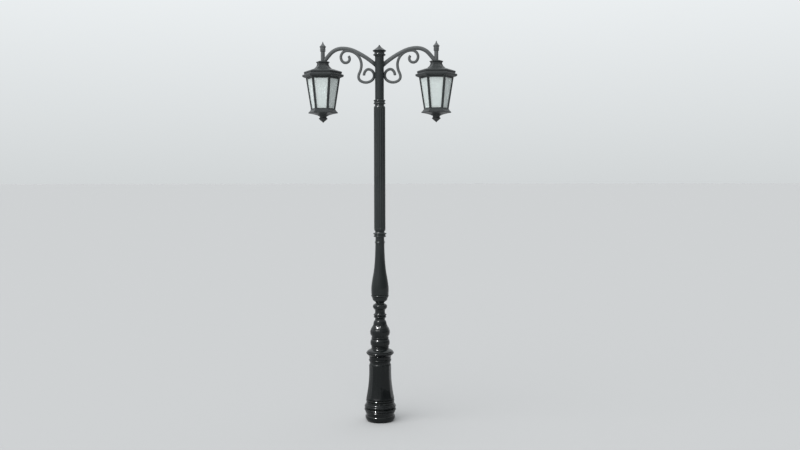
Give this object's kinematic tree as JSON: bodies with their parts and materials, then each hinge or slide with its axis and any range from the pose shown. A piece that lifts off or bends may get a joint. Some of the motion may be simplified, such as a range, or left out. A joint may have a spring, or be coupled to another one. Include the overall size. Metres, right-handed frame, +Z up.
{
  "type": "twin-arm street lamp post",
  "caption": "Ornamental cast street lamp post with a bell base, fluted shaft and twin scrolled arms carrying hexagonal glazed lanterns.",
  "frame": {"origin": "on the ground at the post's axis, at the underside of the base plate", "axes": "+Z up the post, the arms reach along -X and +X, the lantern doors face +Y and the service door faces roughly +Y"},
  "size_m": [1.626, 0.3794, 4],
  "materials": {
    "cast_paint": "gloss paint over cast iron",
    "steel_paint": "gloss paint over steel",
    "lantern_paint": "gloss paint over sheet metal and castings",
    "primed_steel": "galvanised and primed",
    "frosted_glass": "frosted, bevelled edges",
    "plated_steel": "zinc plated",
    "board": "laminate board",
    "pale_plastic": "moulded",
    "dark_plastic": "moulded",
    "brass": "dull",
    "porcelain": "glazed",
    "lamp_shell": "opal"
  },
  "bodies": {
    "post": {"base_plate": "primed_steel", "base_gussets": "primed_steel", "core_tube": "primed_steel", "foot_ring": "cast_paint", "bell_base": "cast_paint", "bell_collar": "cast_paint", "cushion_ring": "cast_paint", "gadroon_bulb": "cast_paint", "lower_neck": "cast_paint", "baluster": "cast_paint", "lower_ring": "cast_paint", "fluted_shaft": "cast_paint", "upper_ring": "cast_paint", "arm_sleeve": "steel_paint", "sleeve_screws": "plated_steel", "cap_collar": "cast_paint", "post_cap": "cast_paint", "tie_stud": "plated_steel", "door_hinge_pins": "plated_steel", "equipment_board": "board", "board_clamps": "plated_steel", "din_rail": "plated_steel", "breaker_body": "pale_plastic", "terminal_block": "pale_plastic", "earth_stud": "brass", "arm_left": "steel_paint", "arm_right": "steel_paint", "scroll_left": "steel_paint", "scroll_right": "steel_paint", "stem_left": "steel_paint", "stem_right": "steel_paint", "finial_left": "steel_paint", "finial_right": "steel_paint", "lantern_head_left": "lantern_paint", "lantern_head_right": "lantern_paint", "lantern_roof_left": "lantern_paint", "lantern_roof_right": "lantern_paint", "lantern_frame_left": "lantern_paint", "lantern_frame_right": "lantern_paint", "panes_left": "frosted_glass", "panes_right": "frosted_glass", "lantern_tray_left": "lantern_paint", "lantern_tray_right": "lantern_paint", "pendant_left": "lantern_paint", "pendant_right": "lantern_paint", "lamp_holder_left": "porcelain", "lamp_holder_right": "porcelain", "lamp_left": "lamp_shell", "lamp_right": "lamp_shell", "pane_hinge_pins": "plated_steel"},
    "base_door": {"base_door": "cast_paint"},
    "door_lock": {"door_lock": "plated_steel"},
    "breaker_toggle": {"breaker_toggle": "dark_plastic"},
    "pane_door_left": {"pane_door_left": "lantern_paint", "door_pane_left": "frosted_glass"},
    "pane_latch_left": {"pane_latch_left": "plated_steel"},
    "pane_door_right": {"pane_door_right": "lantern_paint", "door_pane_right": "frosted_glass"},
    "pane_latch_right": {"pane_latch_right": "plated_steel"}
  },
  "joints": [
    {"name": "base_door_hinge", "type": "hinge", "parent": "post", "child": "base_door", "pos_m": [-0.01317, 0.14386, 0.3], "axis": [-0.0221, -0.0995, 0.9948], "range_deg": [0, 110]},
    {"name": "door_lock_turn", "type": "hinge", "parent": "base_door", "child": "door_lock", "pos_m": [0.048, 0.09179, 0.4], "axis": [0.2164, 0.9763, 0], "range_deg": [0, 90]},
    {"name": "breaker_switch", "type": "hinge", "parent": "post", "child": "breaker_toggle", "pos_m": [0.00853, 0.08005, 0.402], "axis": [0.9763, -0.2164, 0], "range_deg": [-70, 0]},
    {"name": "pane_door_left_hinge", "type": "hinge", "parent": "post", "child": "pane_door_left", "pos_m": [-0.5293, 0.12444, 3.3537], "axis": [-0.0781, -0.1352, -0.9877], "range_deg": [0, 100]},
    {"name": "pane_latch_left_turn", "type": "hinge", "parent": "post", "child": "pane_latch_left", "pos_m": [-0.66492, 0.13323, 3.45848], "axis": [0, 0.9908, -0.1356], "range_deg": [0, 90]},
    {"name": "pane_door_right_hinge", "type": "hinge", "parent": "post", "child": "pane_door_right", "pos_m": [0.5293, 0.12444, 3.3537], "axis": [-0.0781, 0.1352, 0.9877], "range_deg": [0, 100]},
    {"name": "pane_latch_right_turn", "type": "hinge", "parent": "post", "child": "pane_latch_right", "pos_m": [0.66492, 0.13323, 3.45848], "axis": [0, -0.9908, 0.1356], "range_deg": [0, 90]}
  ]
}
